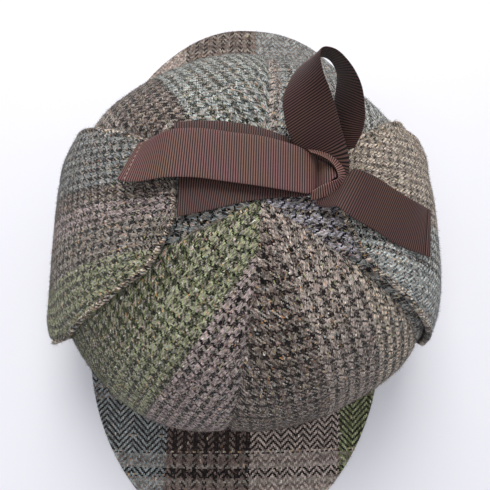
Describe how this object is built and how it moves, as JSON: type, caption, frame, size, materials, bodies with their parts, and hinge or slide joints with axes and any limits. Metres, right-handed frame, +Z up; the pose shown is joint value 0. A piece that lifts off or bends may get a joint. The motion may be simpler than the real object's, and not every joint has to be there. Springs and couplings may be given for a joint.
{
  "type": "deerstalker hat",
  "caption": "Wool tweed deerstalker hat with front and back peaks, its ear flaps turned up and tied over the crown with a brown ribbed ribbon.",
  "frame": {"origin": "centre of the underside of the hat's bounding box, on the surface it stands on", "axes": "+Z up, front peak toward -Y, back peak toward +Y, +X to the right seen from the front peak"},
  "size_m": [0.2239, 0.343, 0.1698],
  "materials": {
    "crown_tweed": "woven",
    "peak_tweed": "woven",
    "flap_tweed": "woven",
    "ribbon": "satin"
  },
  "bodies": {
    "root": {"gore_front_left": "crown_tweed", "gore_front_right": "crown_tweed", "gore_right": "crown_tweed", "gore_back_right": "crown_tweed", "gore_back_left": "crown_tweed", "gore_left": "crown_tweed", "front_peak": "peak_tweed", "back_peak": "peak_tweed", "left_ear_flap": "flap_tweed", "right_ear_flap": "flap_tweed", "left_tie": "ribbon", "back_loop": "ribbon", "left_tail": "ribbon", "right_tail": "ribbon", "bow_loop": "ribbon", "bow_knot": "ribbon"}
  },
  "joints": []
}
